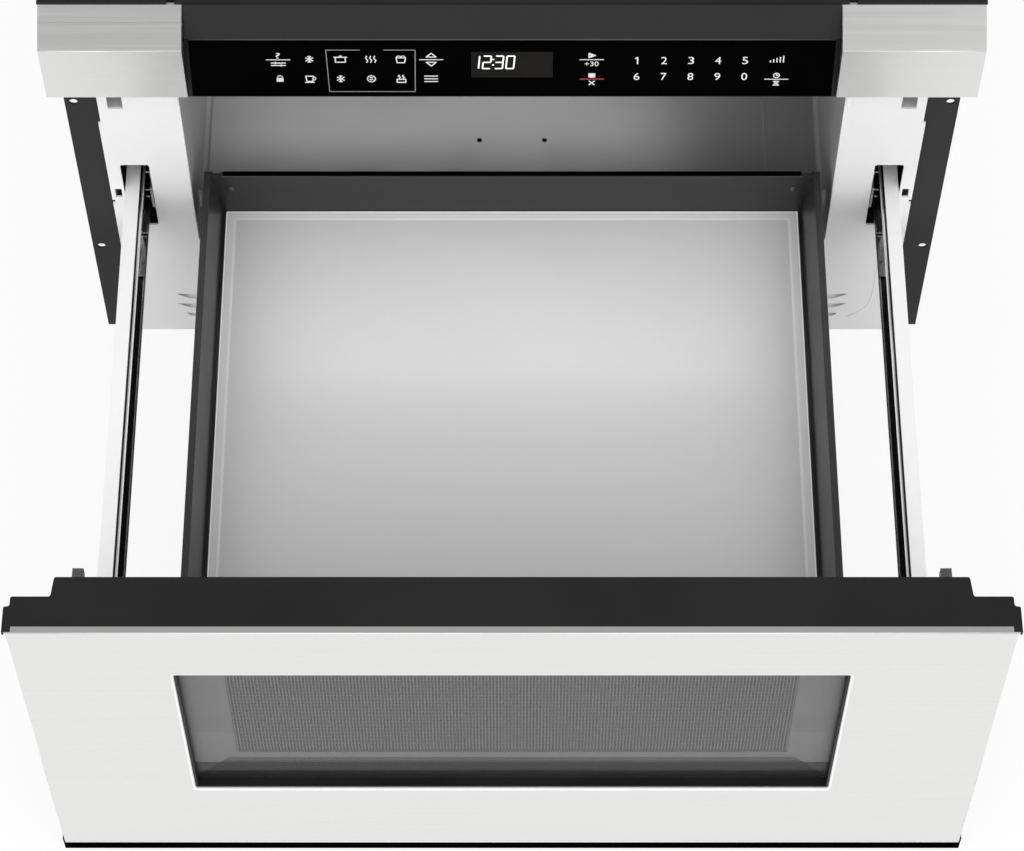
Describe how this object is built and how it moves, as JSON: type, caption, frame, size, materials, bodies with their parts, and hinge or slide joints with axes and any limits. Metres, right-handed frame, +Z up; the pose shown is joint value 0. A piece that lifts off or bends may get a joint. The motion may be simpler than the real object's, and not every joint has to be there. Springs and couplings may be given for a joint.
{
  "type": "microwave drawer",
  "caption": "Built-in microwave drawer, run out on its slides, with a stepped window door, open tray, sloping control panel, rack drive and cooking parts inside the body.",
  "frame": {"origin": "middle of the footprint of the open drawer, on the surface it stands on", "axes": "+X to the right seen from the front, +Y to the rear, +Z up; the drawer runs out along -Y"},
  "size_m": [0.6076, 0.9682, 0.3984],
  "materials": {
    "white_enamel": "smooth satin enamel",
    "galvanised": "zinc coated, satin",
    "steel_screw": "zinc plated",
    "bush_rubber": "matt",
    "flange_grey": "satin",
    "brushed_stainless": "brushed along its length",
    "black_moulding": "fine satin grain",
    "black_glass": "polished",
    "display_olive": "polished",
    "board_green": "circuit board",
    "oven_coating": "satin grey enamel",
    "cover_mica": "satin",
    "can_aluminium": "satin",
    "iron_core": "laminated and varnished",
    "fan_black": "satin",
    "gear_grey": "smooth",
    "gear_plastic": "smooth",
    "window_glass": "tinted, polished",
    "screen_metal": "fine perforations",
    "rear_glass": "tinted, polished",
    "tray_coating": "satin dark enamel",
    "ceramic": "smooth satin glaze",
    "slide_chrome": "bright zinc",
    "white_bracket": "smooth satin",
    "switch_body": "smooth",
    "plunger_red": "smooth",
    "hook_plastic": "smooth"
  },
  "bodies": {
    "chassis": {"front_plate": "white_enamel", "louvre_blades": "white_enamel", "side_panel_left": "galvanised", "side_panel_right": "galvanised", "top_cover": "galvanised", "base_pan": "galvanised", "back_panel": "galvanised", "back_screws": "steel_screw", "cord_grommet": "bush_rubber", "mounting_flange_left": "flange_grey", "mounting_flange_right": "flange_grey", "control_wing_left": "brushed_stainless", "control_wing_right": "brushed_stainless", "control_housing": "black_moulding", "control_glass": "black_glass", "display_lens": "display_olive", "control_board": "board_green", "top_trim": "black_moulding", "cavity_box": "oven_coating", "waveguide_cover": "cover_mica", "waveguide": "galvanised", "stirrer_motor": "can_aluminium", "magnetron": "can_aluminium", "transformer": "iron_core", "capacitor": "can_aluminium", "power_board": "board_green", "line_filter": "board_green", "cavity_lamp": "cover_mica", "fan_shroud": "fan_black", "fan_motor": "can_aluminium", "air_duct": "gear_grey", "gear_motor": "gear_grey", "slide_supports": "galvanised", "slide_fixed_members": "slide_chrome", "latch_housings": "switch_body", "door_switches": "switch_body"},
    "drawer": {"door_frame": "black_moulding", "door_skin": "brushed_stainless", "door_glass": "window_glass", "choke_panel": "oven_coating", "shield_screen": "screen_metal", "choke_cover": "black_moulding", "rear_window": "rear_glass", "door_bottom_trim": "black_moulding", "tray_frame": "tray_coating", "ceramic_plate": "ceramic", "slide_drawer_members": "slide_chrome", "slide_bracket_left": "white_bracket", "slide_bracket_right": "white_bracket", "drive_rack": "gear_plastic", "latch_hooks": "hook_plastic"},
    "middle_slides": {"slide_middle_members": "slide_chrome"},
    "inner_cages": {"inner_ball_cages": "slide_chrome"},
    "outer_cages": {"outer_ball_cages": "slide_chrome"},
    "pinion": {"drive_pinion": "gear_plastic"},
    "stirrer_wheel": {"stirrer": "can_aluminium"},
    "fan": {"fan_wheel": "fan_black"},
    "plunger_left": {"latch_plunger_left": "plunger_red"},
    "plunger_right": {"latch_plunger_right": "plunger_red"}
  },
  "joints": [
    {"name": "drawer_slide", "type": "slide", "parent": "chassis", "child": "drawer", "axis": [0, -1, 0], "range_m": [-0.3775, 0]},
    {"name": "middle_slide", "type": "slide", "parent": "chassis", "child": "middle_slides", "axis": [0, -1, 0], "range_m": [-0.18875, 0]},
    {"name": "inner_cage_slide", "type": "slide", "parent": "chassis", "child": "inner_cages", "axis": [0, -1, 0], "range_m": [-0.09438, 0]},
    {"name": "outer_cage_slide", "type": "slide", "parent": "chassis", "child": "outer_cages", "axis": [0, -1, 0], "range_m": [-0.28313, 0]},
    {"name": "pinion_spin", "type": "hinge", "parent": "chassis", "child": "pinion", "pos_m": [0.2652, -0.03375, 0.1396], "axis": [1, 0, 0], "range_deg": [-1803, 0.5]},
    {"name": "stirrer_spin", "type": "hinge", "parent": "chassis", "child": "stirrer_wheel", "pos_m": [0, 0.13875, 0.334], "axis": [0, 0, 1], "continuous": true},
    {"name": "fan_spin", "type": "hinge", "parent": "chassis", "child": "fan", "pos_m": [-0.15, 0.46085, 0.23], "axis": [0, 1, 0], "continuous": true},
    {"name": "plunger_left_press", "type": "slide", "parent": "chassis", "child": "plunger_left", "axis": [0, 1, 0], "range_m": [0, 0.003], "stiffness_N_per_m": 300},
    {"name": "plunger_right_press", "type": "slide", "parent": "chassis", "child": "plunger_right", "axis": [0, 1, 0], "range_m": [0, 0.003], "stiffness_N_per_m": 300}
  ],
  "couplings": [
    {"joint": "middle_slide", "follows": "drawer_slide", "ratio": 0.5},
    {"joint": "inner_cage_slide", "follows": "drawer_slide", "ratio": 0.25},
    {"joint": "outer_cage_slide", "follows": "drawer_slide", "ratio": 0.75},
    {"joint": "pinion_spin", "follows": "drawer_slide", "rad_per_m": 83.333}
  ]
}
